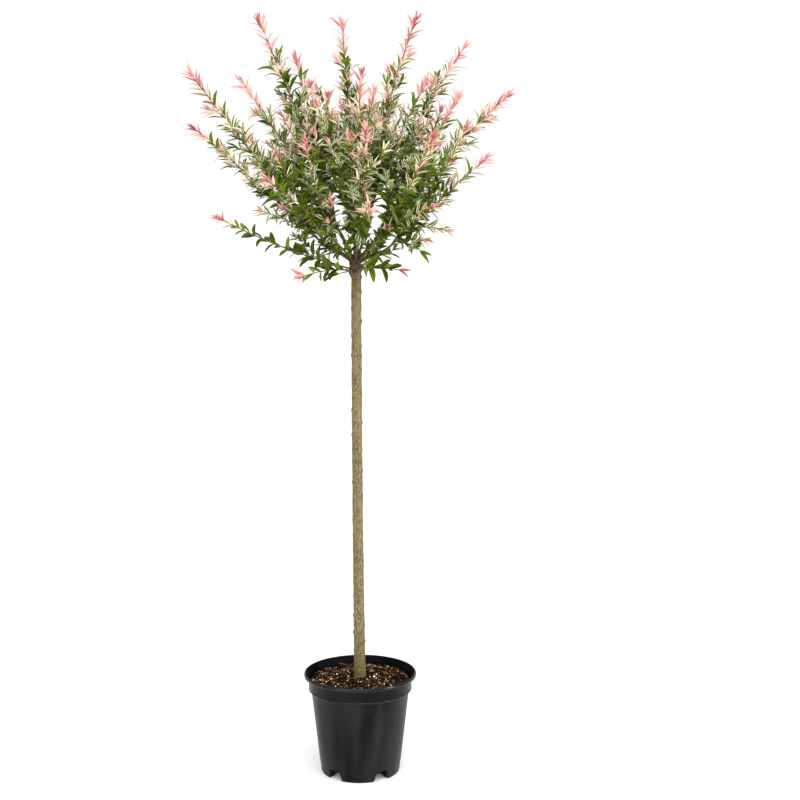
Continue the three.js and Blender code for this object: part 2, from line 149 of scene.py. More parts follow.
inner_band = BAND_RADIUS - WALL_THICKNESS
# The profile runs up the inside, over the lip, down the outside and under the foot ring.
profile = [
    (wall_radius(FLOOR_TOP) - WALL_THICKNESS, FLOOR_TOP),
    (wall_radius(WALL_TOP) - WALL_THICKNESS, WALL_TOP),
    (inner_band - 0.001, BAND_FOOT),
    (inner_band + 0.0002, BAND_TOP - 0.0060),
    (inner_band + 0.0018, BAND_TOP - 0.0006),
    (RIM_RADIUS - 0.0046, BAND_TOP + 0.0030),
    (RIM_RADIUS - 0.0039, POT_HEIGHT - 0.0014),
    (RIM_RADIUS - 0.0032, POT_HEIGHT - 0.0004),
    (RIM_RADIUS - 0.0023, POT_HEIGHT),
    (RIM_RADIUS - 0.0012, POT_HEIGHT - 0.0005),
    (RIM_RADIUS - 0.0003, POT_HEIGHT - 0.0018),
    (RIM_RADIUS, POT_HEIGHT - 0.0036),
    (RIM_RADIUS - 0.0004, BAND_TOP + 0.0008),
    (RIM_RADIUS - 0.0016, BAND_TOP),
    (RIM_RADIUS - 0.0032, BAND_TOP + 0.0006),
    (BAND_RADIUS + 0.0006, BAND_TOP),
    (BAND_RADIUS, BAND_TOP - 0.0016),
    (BAND_RADIUS - 0.0007, BAND_FOOT + 0.0024),
    (BAND_RADIUS - 0.0002, BAND_FOOT + 0.0016),
    (BAND_RADIUS - 0.0002, BAND_FOOT + 0.0008),
    (BAND_RADIUS - 0.0010, BAND_FOOT),
    (BAND_RADIUS - 0.0034, BAND_FOOT - 0.0010),
    (wall_radius(WALL_TOP) + 0.0008, WALL_TOP + 0.0022),
    (wall_radius(WALL_TOP), WALL_TOP - 0.0004),
    (wall_radius(0.100), 0.100),
    (wall_radius(0.060), 0.060),
    (wall_radius(0.0210), 0.0210),
    (wall_radius(0.0192) - 0.0005, 0.0192),
    (wall_radius(0.0040) - 0.0005, 0.0040),
    (wall_radius(0) - 0.0010, 0.0010),
    (wall_radius(0) - 0.0020, 0.0),
    (FOOT_RING_INNER, 0.0),
    (FOOT_RING_INNER - 0.002, FLOOR_UNDERSIDE),
]
pot = drawn_up(profile, POT_SIDES)
finish_with(pot, "BEVEL", width=0.0003, segments=2, limit_method="ANGLE", angle_limit=radians(50))

# A gap is a block through the ring, wider at the ground, and is taken out five times.
across = FOOT_RING_INNER - 0.0015 + GAP_DEPTH / 2
widening = GAP_LOW_WIDTH / GAP_HIGH_WIDTH
for foot in range(FEET):
    bearing = radians(GAP_TURN + 360 * (foot + 0.5) / FEET)
    deselect()
    bpy.ops.mesh.primitive_cube_add(
        size=1,
        location=(across * cos(bearing), across * sin(bearing), GAP_HEIGHT / 2 - GAP_BELOW / 2),
        rotation=(0, 0, bearing),
        scale=(GAP_DEPTH, GAP_HIGH_WIDTH, GAP_HEIGHT + GAP_BELOW),
    )
    gap = bpy.context.object
    bpy.ops.object.mode_set(mode="EDIT")
    bpy.ops.mesh.select_mode(type="FACE")
    bpy.ops.mesh.select_all(action="DESELECT")
    bpy.ops.object.mode_set(mode="OBJECT")
    for face in gap.data.polygons:
        face.select = face.normal.z < -0.5
    bpy.ops.object.mode_set(mode="EDIT")
    bpy.ops.transform.resize(
        value=(1, widening, 1), orient_type="LOCAL", center_override=gap.location
    )
    bpy.ops.object.mode_set(mode="OBJECT")
    settle(gap, "gap")
    finish_with(pot, "BOOLEAN", operation="DIFFERENCE", object=gap, solver="EXACT")
    bpy.data.objects.remove(gap)

pot = settle(pot, "nursery_pot")
bpy.ops.object.shade_smooth_by_angle(angle=radians(32))


def set_sockets(node, **sockets):
    """Sets even values on a node's own sockets."""
    for socket, value in sockets.items():
        node.inputs[socket.replace("_", " ")].default_value = value
    return node


def new_finish(name, **sockets):
    """A material with one Principled shader whose own sockets hold the even values."""
    finish = bpy.data.materials.new(name)
    finish.use_nodes = True
    set_sockets(finish.node_tree.nodes["Principled BSDF"], **sockets)
    return finish, finish.node_tree


def feed(tree, value, socket):
    """Leads a pattern or a mix of colours into one of the shader's sockets."""
    tree.links.new(value, tree.nodes["Principled BSDF"].inputs[socket])


def srgb(red, green, blue, alpha=1.0):
    """A colour named by its 0 to 255 display values, as the shader wants it."""
    linear = [
        v / 12.92 if v <= 0.04045 else ((v + 0.055) / 1.055) ** 2.4
        for v in (red / 255, green / 255, blue / 255)
    ]
    return (*linear, alpha)


def patch(tree, scale, detail=3.0, rough=0.55, stretch=(1, 1, 1), shift=(0, 0, 0)):
    """Cloudy patches fixed to the piece, from a noise with scale clouds to the metre."""
    place = tree.nodes.new("ShaderNodeTexCoord")
    turn = set_sockets(tree.nodes.new("ShaderNodeMapping"), Scale=stretch, Location=shift)
    clouds = tree.nodes.new("ShaderNodeTexNoise")
    set_sockets(clouds, Scale=scale, Detail=detail, Roughness=rough)
    tree.links.new(place.outputs["Object"], turn.inputs["Vector"])
    tree.links.new(turn.outputs["Vector"], clouds.inputs["Vector"])
    return clouds.outputs["Fac"]


def spread_over(tree, value, low, high, out_low=0.0, out_high=1.0):
    """Stretches the part of a pattern between low and high over a new range."""
    node = tree.nodes.new("ShaderNodeMapRange")
    set_sockets(node, From_Min=low, From_Max=high, To_Min=out_low, To_Max=out_high)
    tree.links.new(value, node.inputs["Value"])
    return node.outputs["Result"]


def tinted(tree, share, base, other):
    """Mixes two colours by a pattern. Each is its display values or a node's output."""
    node = tree.nodes.new("ShaderNodeMix")
    node.data_type = "RGBA"
    tree.links.new(share, node.inputs[0])
    for socket, colour in ((node.inputs[6], base), (node.inputs[7], other)):
        if isinstance(colour, tuple):
            socket.default_value = srgb(*colour)
        else:
            tree.links.new(colour, socket)
    return node.outputs[2]


def raise_by(tree, height, distance, strength=1.0):
    """Raises the surface's shading by a pattern, distance metres at most."""
    node = set_sockets(tree.nodes.new("ShaderNodeBump"), Distance=distance, Strength=strength)
    tree.links.new(height, node.inputs["Height"])
    feed(tree, node.outputs["Normal"], "Normal")


def black_plastic(name, painted_highlight, dusty, rough, gloss):
    """Finish of the pot: near black with lighter upright streaks of painted highlight, thinly dusted, with
    a fine grain.
    """
    finish, tree = new_finish(name, Specular_IOR_Level=gloss)
    # The lighter upright streaks are painted highlights; the same streaks also vary the roughness.
    streaks = patch(tree, 34, 2, 0.4, stretch=(1, 1, 0.1), shift=(0.3, 0, 0))
    dust = spread_over(tree, patch(tree, 26, 6, 0.7), 0.5, 0.75)
    black = tinted(tree, spread_over(tree, streaks, 0.42, 0.66), (4, 4, 5), painted_highlight)
    feed(tree, tinted(tree, dust, black, dusty), "Base Color")
    feed(tree, spread_over(tree, streaks, 0.25, 0.75, rough, rough + 0.12), "Roughness")
    raise_by(tree, patch(tree, 900, 2, stretch=(0.06, 0.06, 1)), GRAIN_BUMP, 0.6)
    return finish


# The wall is satin, the inside darker with painted shade and clean of dust, the lip and the
# bead under the band rubbed smooth by hands, the band glossier than the wall and darker with
# painted shade under the lip. Each has its lighter streaks of painted highlight, its dust, how
# rough it is and how much it shines.
PLASTICS = {
    "black_polypropylene": ((32, 32, 32), (24, 23, 21), 0.34, 0.12),
    "shaded_inside_polypropylene": ((10, 10, 11), (8, 8, 8), 0.5, 0.06),
    "rubbed_polypropylene": ((16, 16, 17), (12, 12, 12), 0.2, 0.30),
    "shaded_band_polypropylene": ((15, 15, 16), (12, 12, 12), 0.28, 0.12),
}
for name, look in PLASTICS.items():
    pot.data.materials.append(black_plastic(name, *look))
SHADED_INSIDE, RUBBED, BAND = 1, 2, 3
BEAD_TOP = BAND_FOOT + 0.0022

for face in pot.data.polygons:
    x, y, z = face.center
    outwards = (x * face.normal.x + y * face.normal.y) / hypot(x, y, 1e-6)
    # The inside wall takes the darker finish, which is painted shade.
    if z > FLOOR_TOP + 0.001 and outwards < -0.3:
        face.material_index = SHADED_INSIDE
    elif z > BAND_TOP + 0.0008 or BAND_FOOT < z < BEAD_TOP:
        face.material_index = RUBBED
    # The band takes the darker finish, which is painted shade under the lip.
    elif z > BEAD_TOP:
        face.material_index = BAND
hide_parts("pot")
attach(pot, "root")


# Compost
# Moist peat with composted bark, pressed into the pot by hand to a finger below the lip
# and a little higher round the stem. Bark fibres, chips and white perlite grains lie in
# its top. The piece is only the top 20 mm or so, one closed body with a crumbly face.

SOIL_EDGE = 0.1568
SOIL_MIDDLE = 0.1612
SOIL_RADIUS = inner_band - 0.0016
SOIL_UNDERSIDE = BAND_FOOT - 0.002
SOIL_GRID = 220
LITTER_RADIUS = SOIL_RADIUS - 0.004
CRUMB_SEED = 7


def compost_height(x, y):
    """Height of the compost's top at a place: a low mound with crumbs of three sizes."""
    radius = hypot(x, y)
    share = min(radius / SOIL_RADIUS, 1.0)
    mound = SOIL_MIDDLE + (SOIL_EDGE - SOIL_MIDDLE) * share**1.5
    lumps = 0.0034 * noise.noise(Vector((x, y, 0)) * 55)
    crumbs = 0.0022 * noise.noise(Vector((x, y, 0.3)) * 160)
    grit = 0.0013 * noise.noise(Vector((x, y, 0.6)) * 420)
    near_stem = min(max((radius - 0.009) / 0.02, 0.0), 1.0)
    return mound + (lumps + crumbs + grit) * (0.35 + 0.65 * near_stem)


bpy.ops.mesh.primitive_grid_add(
    x_subdivisions=SOIL_GRID, y_subdivisions=SOIL_GRID, size=2 * SOIL_RADIUS + 0.004
)
compost = bpy.context.object
for corner in compost.data.vertices:
    corner.select = hypot(corner.co.x, corner.co.y) > SOIL_RADIUS
for parts in (compost.data.edges, compost.data.polygons):
    for part in parts:
        part.select = all(compost.data.vertices[v].select for v in part.vertices)
bpy.ops.object.mode_set(mode="EDIT")
bpy.ops.mesh.select_mode(type="VERT")
bpy.ops.mesh.delete(type="VERT")
bpy.ops.mesh.select_all(action="DESELECT")
bpy.ops.mesh.select_non_manifold()
bpy.ops.mesh.extrude_edges_move(TRANSFORM_OT_translate={"value": (0, 0, -0.02)})
bpy.ops.mesh.edge_face_add()
bpy.ops.object.mode_set(mode="OBJECT")
inward = (SOIL_RADIUS - 0.006) / SOIL_RADIUS
for corner in compost.data.vertices:
    if corner.co.z > -0.01:
        corner.co.z = compost_height(corner.co.x, corner.co.y)
    else:
        corner.co = (corner.co.x * inward, corner.co.y * inward, SOIL_UNDERSIDE)
compost = face_outwards(settle(compost, "compost"))
bpy.ops.object.shade_smooth_by_angle(angle=radians(40))

peat, tree = new_finish("moist_peat", Specular_IOR_Level=0.03)
clods = spread_over(tree, patch(tree, 70, 5, 0.6), 0.35, 0.65)
crumbs = spread_over(tree, patch(tree, 420, 6, 0.7, shift=(0.2, 0, 0)), 0.38, 0.66)
brown = tinted(tree, clods, (30, 19, 10), (74, 52, 32))
# The near-black colour in the fine patches is dark peat and painted shade in the gaps between crumbs.
feed(tree, tinted(tree, crumbs, (14, 9, 4), brown), "Base Color")
feed(tree, spread_over(tree, crumbs, 0, 1, 0.95, 0.75), "Roughness")
raise_by(tree, patch(tree, 900, 6, 0.7), 0.0012)
compost.data.materials.append(peat)
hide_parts("soil")
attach(compost, "root")


def set_out(name, data):
    """A new object in the scene, of a mesh, a curve, a lamp or a camera."""
    item = bpy.data.objects.new(name, data)
    bpy.context.scene.collection.objects.link(item)
    return item


def mesh_piece(name, corners, faces):
    """A new piece from arrays of corners and faces, already in place."""
    mesh = bpy.data.meshes.new(name)
    mesh.from_pydata(corners, [], faces)
    mesh.update()
    return set_out(name, mesh)


def strewn_place(draw, nearest):
    """A random place on the compost, evenly dealt over its area."""
    radius = LITTER_RADIUS * sqrt(draw.uniform(nearest, 1))
    bearing = draw.uniform(0, 2 * pi)
    return radius * cos(bearing), radius * sin(bearing)


def strewn(name, count, seed, lengths, widths, thickness, rise, curl):
    """Small bent slivers that lie on the compost at random, each a bar of four stretches."""
    draw = np.random.default_rng(seed)
    corners, faces = [], []
    for _ in range(count):
        x, y = strewn_place(draw, 0.02)
        turn, tilt = draw.uniform(0, 2 * pi), draw.uniform(-rise, rise)
        length, width = draw.uniform(*lengths), draw.uniform(*widths)
        bow = draw.uniform(-curl, curl) * length
        along = Vector((cos(turn), sin(turn), sin(tilt)))
        across = Vector((-sin(turn), cos(turn), draw.uniform(-0.5, 0.5)))
        middle = Vector((x, y, compost_height(x, y) + thickness * 0.4))
        first = len(corners)
        for share in (-0.5, -0.25, 0.0, 0.25, 0.5):
            taper = 1 - 0.5 * abs(share)
            place = middle + along * (share * length) + across * (bow * (0.25 - share * share))
            edge = Vector((place.x, place.y, 0)).length
            if edge > SOIL_RADIUS - 0.001:
                place.x *= (SOIL_RADIUS - 0.001) / edge
                place.y *= (SOIL_RADIUS - 0.001) / edge
            side = across.normalized() * (width * taper / 2)
            up = Vector((0, 0, thickness * taper / 2))
            corners += [place + side - up, place + side + up, place - side + up, place - side - up]
        for step in range(4):
            a = first + 4 * step
            faces += [(a + k, a + (k + 1) % 4, a + 4 + (k + 1) % 4, a + 4 + k) for k in range(4)]
        for end in ((3, 2, 1, 0), (16, 17, 18, 19)):
            faces.append(tuple(first + corner for corner in end))
    return face_outwards(settle(mesh_piece(name, corners, faces), name))


def woody(name, dark, light):
    """Finish of the litter: two colours in fine patches, rather dull."""
    finish, tree = new_finish(name, Roughness=0.7, Specular_IOR_Level=0.04)
    share = spread_over(tree, patch(tree, 130, 4, 0.6), 0.35, 0.65)
    feed(tree, tinted(tree, share, dark, light), "Base Color")
    raise_by(tree, patch(tree, 780, 3), 0.0003)
    return finish


# Each kind of litter: how many, their lengths, widths and thickness, how far they tilt
# and curl, and the dark and the light of their colour.
LITTER = {
    "bark_chips": (320, (0.004, 0.013), (0.0014, 0.0034), 0.0012, 0.4, 0.3, (30, 17, 7), (84, 54, 28)),
    "bark_fibres": (380, (0.008, 0.026), (0.0005, 0.001), 0.0007, 0.4, 1.3, (62, 37, 18), (164, 118, 74)),
    "pale_fibres": (90, (0.006, 0.02), (0.0006, 0.0012), 0.0008, 0.4, 1.1, (126, 104, 74), (200, 178, 144)),
    # The dark crumbs are near black: dark peat crumbs and painted shade of the gaps in the compost.
    "dark_crumbs_and_gap_shade": (860, (0.002, 0.007), (0.0018, 0.0042), 0.0022, 0.6, 0.2, (9, 6, 2), (34, 22, 11)),
    "moss_specks": (34, (0.002, 0.006), (0.0008, 0.0018), 0.001, 0.6, 0.5, (56, 70, 20), (116, 130, 56)),
}
for name, (count, *sizes, dark, light) in LITTER.items():
    litter = strewn(name, count, CRUMB_SEED + count, *sizes)
    litter.data.materials.append(woody(name, dark, light))
    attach(litter, "root")


def joined(pieces, name):
    """Joins pieces into the first of them and settles it."""
    pick_out(*pieces)
    bpy.ops.object.join()
    return settle(bpy.context.object, name)


# Perlite: expanded volcanic glass, white rounded grains mixed in the compost.
PERLITE = 120
grain_draw = np.random.default_rng(CRUMB_SEED)
grains = []
for _ in range(PERLITE):
    x, y = strewn_place(grain_draw, 0.03)
    size = grain_draw.uniform(0.0008, 0.0016) * (1 + 0.5 * (grain_draw.uniform() > 0.85))
    deselect()
    bpy.ops.mesh.primitive_ico_sphere_add(
        subdivisions=2, radius=size, location=(x, y, compost_height(x, y) + size * 0.9)
    )
    grain = bpy.context.object
    for corner in grain.data.vertices:
        corner.co *= 1 + 0.35 * noise.noise(corner.co * 900 + Vector((x, y, 0)) * 1000)
    grains.append(grain)
perlite = joined(grains, "perlite")
bpy.ops.object.shade_smooth()
white_grain, tree = new_finish("perlite", Roughness=0.9)
soiling = spread_over(tree, patch(tree, 500, 4), 0.4, 0.7)
feed(tree, tinted(tree, soiling, (246, 243, 236), (190, 172, 148)), "Base Color")
raise_by(tree, patch(tree, 2500, 3), 0.0002)
perlite.data.materials.append(white_grain)
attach(perlite, "root")


# Stem and boughs
# Willow wood: a straight unbranched stem of about four years, cut flat at the compost here,
# with swollen leaf nodes and dormant buds, topped by the knobbly graft from which fifteen
# boughs grow. It is one skin of thin olive-grey bark with fine lengthwise wrinkles.

STEM_FOOT = Vector((-0.0002, 0, 0.1603))
STEM_BOW = Vector((-0.0042, 0.002, 0.400))
HEAD = Vector((-0.006, 0, 0.858))
STEM_TOP = Vector((-0.0042, 0, 0.858))
STEM_FOOT_RADIUS = 0.0096
STEM_TOP_RADIUS = 0.0084
FLARE = 0.0011
FLARE_HEIGHT = 0.030
HEAD_RADIUS = 0.0096
HEAD_STRETCH = 1.3
KNOBS = 11
KNOB_RADIUS = 0.0044
KNOB_STRETCH = 1.35
GOLDEN_ANGLE = 137.5
# Healed stubs of pruned shoots under the head: place from the head's middle, and size.
STUBS = (
    ((-0.0066, -0.004, -0.0125), 1.1),
    ((-0.0058, -0.002, -0.0185), 0.8),
    ((0.0090, -0.003, -0.0070), 1.1),
    ((0.0084, -0.001, -0.0225), 0.7),
    ((0.0010, -0.0085, -0.0160), 0.9),
)
BARK_GRAIN = 0.0009

# Each bough: its bearing and rise in degrees (0 is +X, 90 the back) and its length in
# millimetres, then the same for its main whips, all from the middle of the head. A whip's
# last number is how far its bend stands above its line, which bows its middle by half.
BOUGHS = {
    "middle": ((95, 86, 66), [(128, 85, 405, 0)]),
    "upper_left": ((199, 63, 70), [(202, 67, 428, 26)]),
    "upper_right": ((332, 66, 70), [(344, 75, 415, 50), (317, 61, 334, 10)]),
    "upper_front": ((268, 59, 62), [(275, 65, 336, 0)]),
    "upper_back": ((72, 60, 66), [(69, 62, 386, 10)]),
    "back_left": ((139, 55, 68), [(147, 53, 395, 4), (131, 66, 388, 24)]),
    "right": ((16, 47, 70), [(22, 44.8, 412, 25), (20, 61, 421, 55)]),
    "back_right": ((51, 30, 64), [(45, 48.5, 400, 25), (36, 27, 240, 10)]),
    "back": ((92, 30, 62), [(92, 44, 362, 12), (92, 24, 275, 10)]),
    "left_back": ((165, 30, 62), [(179, 40, 358, 30), (140, 22, 243, 6)]),
    "left": ((206, 35, 70), [(210, 45.5, 419, 28)]),
    "left_front": ((242, 29, 58), [(251, 41, 299, 8), (231, 31, 265, 12)]),
    "front": ((274, 26, 58), [(274, 40, 335, 8), (275, 20, 272, 10)]),
    "front_right": ((305, 30, 58), [(304, 43, 303, 10), (304, 22, 250, 12)]),
    "low_right": ((340, 22, 58), [(340, 37.3, 296, 32), (339, 14.5, 184, 42)]),
}
# Thin shoots straight from the stem below the head: the height of the foot, a whip, the
# rise it starts with, and the share of its length at which it bends.
SHOOTS = {
    "thin_left": (848, [(202, 18, 249, 0)], 13, 0.50),
    "hanging_left": (842, [(216, -11, 124, 0)], 28, 0.3),
    "hanging_right": (845, [(317, -6, 118, 0)], 28, 0.3),
    "hanging_back": (850, [(70, 4, 130, 0)], 28, 0.3),
}
BOUGH_TAPER = 0.72
BOUGH_ARCH = 5
BOUGH_START = 0.005
UP = Vector((0, 0, 1))


def direction(bearing, rise):
    """The way that a bearing and a rise in degrees point."""
    b, r = radians(bearing), radians(rise)
    return Vector((cos(b) * cos(r), sin(b) * cos(r), sin(r)))


class Limb:
    """A piece of wood that bends once between its foot and its tip."""

    def __init__(self, foot, bend, tip, radius, tip_radius):
        self.foot, self.bend, self.tip = foot, bend, tip
        self.radius, self.tip_radius = radius, tip_radius
        places = [self.at(i / 12) for i in range(13)]
        self.length = sum((b - a).length for a, b in zip(places, places[1:]))

    def at(self, t):
        return self.foot * (1 - t) ** 2 + self.bend * (2 * t * (1 - t)) + self.tip * t**2

    def heading(self, t):
        return ((self.bend - self.foot) * (1 - t) + (self.tip - self.bend) * t).normalized()

    def thickness(self, t):
        return self.radius + (self.tip_radius - self.radius) * t

    def cut_short(self, by):
        """The same limb, ending earlier by a length."""
        t = 1 - by / self.length
        return Limb(self.foot, self.foot.lerp(self.bend, t), self.at(t), self.radius, self.tip_radius)


def rods(name, limbs, steps, roundness):
    """Joins limbs of any length as round tapering rods in one mesh."""
    curve = bpy.data.curves.new(name, "CURVE")
    curve.dimensions = "3D"
    curve.bevel_depth = 1.0
    curve.bevel_resolution = roundness
    curve.use_fill_caps = True
    for limb in limbs:
        spline = curve.splines.new("POLY")
        count = steps(limb)
        spline.points.add(count)
        for i, point in enumerate(spline.points):
            point.co = (*limb.at(i / count), 1)
            point.radius = limb.thickness(i / count)
    pick_out(set_out(name, curve))
    bpy.ops.object.convert(target="MESH")
    return bpy.context.object


# The stem tapers evenly, but for the flare at its foot.
stem = Limb(STEM_FOOT, STEM_BOW, STEM_TOP, STEM_FOOT_RADIUS, STEM_TOP_RADIUS)
stem.thickness = lambda t: (
    STEM_FOOT_RADIUS
    + (STEM_TOP_RADIUS - STEM_FOOT_RADIUS) * t
    + FLARE * exp(-(HEAD.z - STEM_FOOT.z) * t / FLARE_HEIGHT)
)
boughs = {}
for name, ((bearing, rise, length), whips) in BOUGHS.items():
    length /= 1000
    aim = direction(bearing, rise)
    foot = HEAD + aim * BOUGH_START
    steeper = rise + BOUGH_ARCH * cos(radians(rise))
    bend = foot + direction(bearing, steeper) * (length / 2)
    radius = 0.0017 + 0.003 * max(whip[2] for whip in whips) / 1000
    boughs[name] = Limb(foot, bend, HEAD + aim * length, radius, radius * BOUGH_TAPER)

wood = [
    rods("stem", [stem], lambda limb: 60, 6),
    rods("boughs", boughs.values(), lambda limb: 8, 3),
]
# The head is one ball, with the knobs winding up round it and the stubs under it.
balls = [(HEAD, HEAD_RADIUS, HEAD_STRETCH, 32, 16)]
for k in range(KNOBS):
    place = HEAD + direction(k * GOLDEN_ANGLE + 40, -62 + 9 * k) * (HEAD_RADIUS - 0.002)
    balls.append((place, KNOB_RADIUS * (1.1 - 0.05 * k), KNOB_STRETCH, 16, 10))
for place, size in STUBS:
    balls.append((HEAD + Vector(place), KNOB_RADIUS * size, KNOB_STRETCH, 16, 10))
for place, radius, stretch, sides, rings in balls:
    deselect()
    bpy.ops.mesh.primitive_uv_sphere_add(
        segments=sides, ring_count=rings, radius=radius, location=place, scale=(1, 1, stretch)
    )
    wood.append(bpy.context.object)
bark_skin = joined(wood, "bark")
finish_with(bark_skin, "REMESH", mode="VOXEL", voxel_size=BARK_GRAIN)
finish_with(bark_skin, "SMOOTH", iterations=6, factor=0.6)

# Nodes stand on alternate sides about every 20 mm, each a collar with a bud above it.
NODE_SEED = 12
NODE_APART = (0.013, 0.026)
node_draw = np.random.default_rng(NODE_SEED)
nodes, height, turn = [], STEM_FOOT.z + 0.02, 20.0
while height < HEAD.z - 0.02:
    nodes.append((height, radians(turn), node_draw.uniform(0.5, 1.3)))
    height += node_draw.uniform(*NODE_APART)
    turn += 180 + node_draw.uniform(-50, 50)


def bark_relief(place):
    """How far the bark stands out at a place: collars, buds and lengthwise wrinkles."""
    axis = stem.at(min(max((place.z - STEM_FOOT.z) / (HEAD.z - STEM_FOOT.z), 0), 1))
    bearing = atan2(place.y - axis.y, place.x - axis.x)
    on_stem = place.z < HEAD.z - 0.012
    lift = 0.0
    if on_stem:
        for height, turn, size in nodes:
            above = place.z - height
            if abs(above) < 0.009:
                facing = 0.5 + 0.5 * cos(bearing - turn)
                lift += 0.0004 * size * exp(-((above / 0.0024) ** 2)) * (0.35 + facing)
                bud = exp(-((above - 0.002) / 0.0024) ** 2 - ((1 - facing) / 0.07) ** 2)
                lift += 0.0013 * size * bud
    wrinkle = noise.noise(Vector((place.x * 380, place.y * 380, place.z * 50)))
    lump = noise.noise(place * 60 + Vector((3, 0, 0)))
    crack = abs(noise.noise(Vector((place.x * 240, place.y * 240, place.z * 120))))
    rough, crack_depth = (0.0005, 0) if on_stem else (0.0009, 0.001)
    lift += 0.0003 * wrinkle
    return lift + rough * lump - crack_depth * max(0, 0.12 - crack) / 0.12


# The cut foot stays flat, and the rest of the bark is raised.
CUT_HEIGHT = 0.0012
normals = [corner.normal.copy() for corner in bark_skin.data.vertices]
for corner, normal in zip(bark_skin.data.vertices, normals):
    if corner.co.z > STEM_FOOT.z + CUT_HEIGHT:
        corner.co += normal * bark_relief(corner.co)
bpy.ops.object.shade_smooth()


def axes_of(tree, space):
    """The X, Y and Z of a place or a direction in a space."""
    place = tree.nodes.new("ShaderNodeTexCoord")
    axes = tree.nodes.new("ShaderNodeSeparateXYZ")
    tree.links.new(place.outputs[space], axes.inputs["Vector"])
    return axes.outputs


# Streaks and dark spots on olive, with patches of moss and grey. It is greener near the
# compost, dark brown at the head and a warmer brown on the boughs.
bark, tree = new_finish("willow_bark", Specular_IOR_Level=0.32)
streaks = spread_over(tree, patch(tree, 540, 6, 0.7, stretch=(1, 1, 0.3)), 0.37, 0.63)
spots = spread_over(tree, patch(tree, 320, 3, 0.6, shift=(0.7, 0, 0)), 0.60, 0.70, 0, 0.5)
moss = patch(tree, 62, 3, 0.5, stretch=(1, 1, 0.6), shift=(0, 0.3, 0.2))
moss = spread_over(tree, moss, 0.54, 0.66, 0, 0.6)
grey = patch(tree, 46, 3, 0.5, stretch=(1, 1, 0.5), shift=(0.4, 0, 0))
grey = spread_over(tree, grey, 0.5, 0.66, 0, 0.5)
olive = tinted(tree, streaks, (30, 22, 9), (152, 136, 94))
greyed = tinted(tree, grey, olive, (132, 115, 88))
mossy = tinted(tree, moss, greyed, (118, 112, 42))
dotted = tinted(tree, spots, mossy, (56, 43, 25))
height = axes_of(tree, "Object")["Z"]
near_soil = spread_over(tree, height, 0.280, 0.165, 0, 0.6)
based = tinted(tree, near_soil, dotted, (104, 96, 52))
at_head = spread_over(tree, height, 0.795, 0.858, 0, 0.92)
headed = tinted(tree, at_head, based, tinted(tree, streaks, (30, 18, 6), (90, 60, 27)))
on_boughs = spread_over(tree, height, 0.866, 0.884)
bough_bark = tinted(tree, streaks, (56, 40, 19), (128, 103, 57))
feed(tree, tinted(tree, on_boughs, headed, bough_bark), "Base Color")
feed(tree, spread_over(tree, streaks, 0, 1, 0.58, 0.42), "Roughness")
raise_by(tree, patch(tree, 1500, 5, 0.6, stretch=(1, 1, 0.2)), 0.0004)
bark_skin.data.materials.append(bark)
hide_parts("trunk", *[f"bough_{name}" for name in BOUGHS])
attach(bark_skin, "root")


# Whips and twigs
# This year's long straight whips, cut back to the head each spring, with side whips and
# fine twigs on them. They are thin and round, olive below and orange-red where young.

# Sizes, in metres and degrees, and shares of the rule that the solids' whips grow by.
WHIP_TIP_RADIUS = 0.0008
SIDE_WHIP_RADIUS = 0.0013
SHOOT_RADIUS = 0.0016
FORK_SHARE = 0.06
FORK_TURN = 0.7
WHIP_BEND = 0.3
SECOND_WHIP_SHARE = 0.85
CROWN_REACH_LEVEL = 0.190
CROWN_REACH_TOP = 0.390
CROWN_TOP_RISE = 55
AIM_SHARE = 0.65
SPACE_MARGIN = 0.0004
SEAT_GAP = 0.0003
GROWTH_SEED = 41
SIDE_WHIPS = 3
SIDE_FORK = (0.06, 0.36)
SIDE_SPREAD = (13, 21)
SIDE_REACH = (0.66, 0.94)
SIDE_EASINGS = (1, 0.8, 0.6, 0.4)
SIDE_TESTS = (0.15, 0.4, 0.7, 1)


def seeded(seed):
    """Draws the same numbers between 0 and 1 for the same seed, as the solids' rule does."""
    state, whole = seed, 0xFFFFFFFF

    def draw():
        nonlocal state
        state = (state + 0x6D2B79F5) & whole
        mixed = ((state ^ (state >> 15)) * (1 | state)) & whole
        mixed = ((mixed + (((mixed ^ (mixed >> 7)) * (61 | mixed)) & whole)) & whole) ^ mixed
        return ((mixed ^ (mixed >> 14)) & whole) / 4294967296

    return draw


def whip_from(foot, along, tip, radius, bow=0.0, bend=WHIP_BEND):
    """A whip that leaves its foot along a direction, bows up and bends to its tip."""
    line = tip - foot
    upward = (UP - line * (line.z / line.length_squared)).normalized()
    turn = foot + along * (bend * line.length) + upward * (bow / 1000)
    return Limb(foot, turn, tip, radius, WHIP_TIP_RADIUS)


def forked(parent, at, tip, radius, bow=0.0):
    """A whip that forks off another at a share of its length and turns to its own tip."""
    foot = parent.at(at)
    along = parent.heading(at).lerp((tip - foot).normalized(), FORK_TURN).normalized()
    return whip_from(foot, along, tip, radius, bow)


def turned_away(axis, turn, angle):
    """A direction that leans away from an axis by an angle, towards a turn about it."""
    around, away = radians(turn), radians(angle)
    across = axis.cross(Vector((1, 0, 0)) if abs(axis.z) > 0.97 else UP).normalized()
    outward = axis.cross(across)
    sideways = across * cos(around) + outward * sin(around)
    return axis * cos(away) + sideways * sin(away)


def crown_reach(rise):
    """How far the crown reaches from the head at a rise in degrees."""
    share = min(max(rise / CROWN_TOP_RISE, 0), 1)
    share = share * share * (3 - 2 * share)
    return CROWN_REACH_LEVEL + (CROWN_REACH_TOP - CROWN_REACH_LEVEL) * share


def rise_of(aim):
    return degrees(asin(max(-1, min(1, aim.z))))


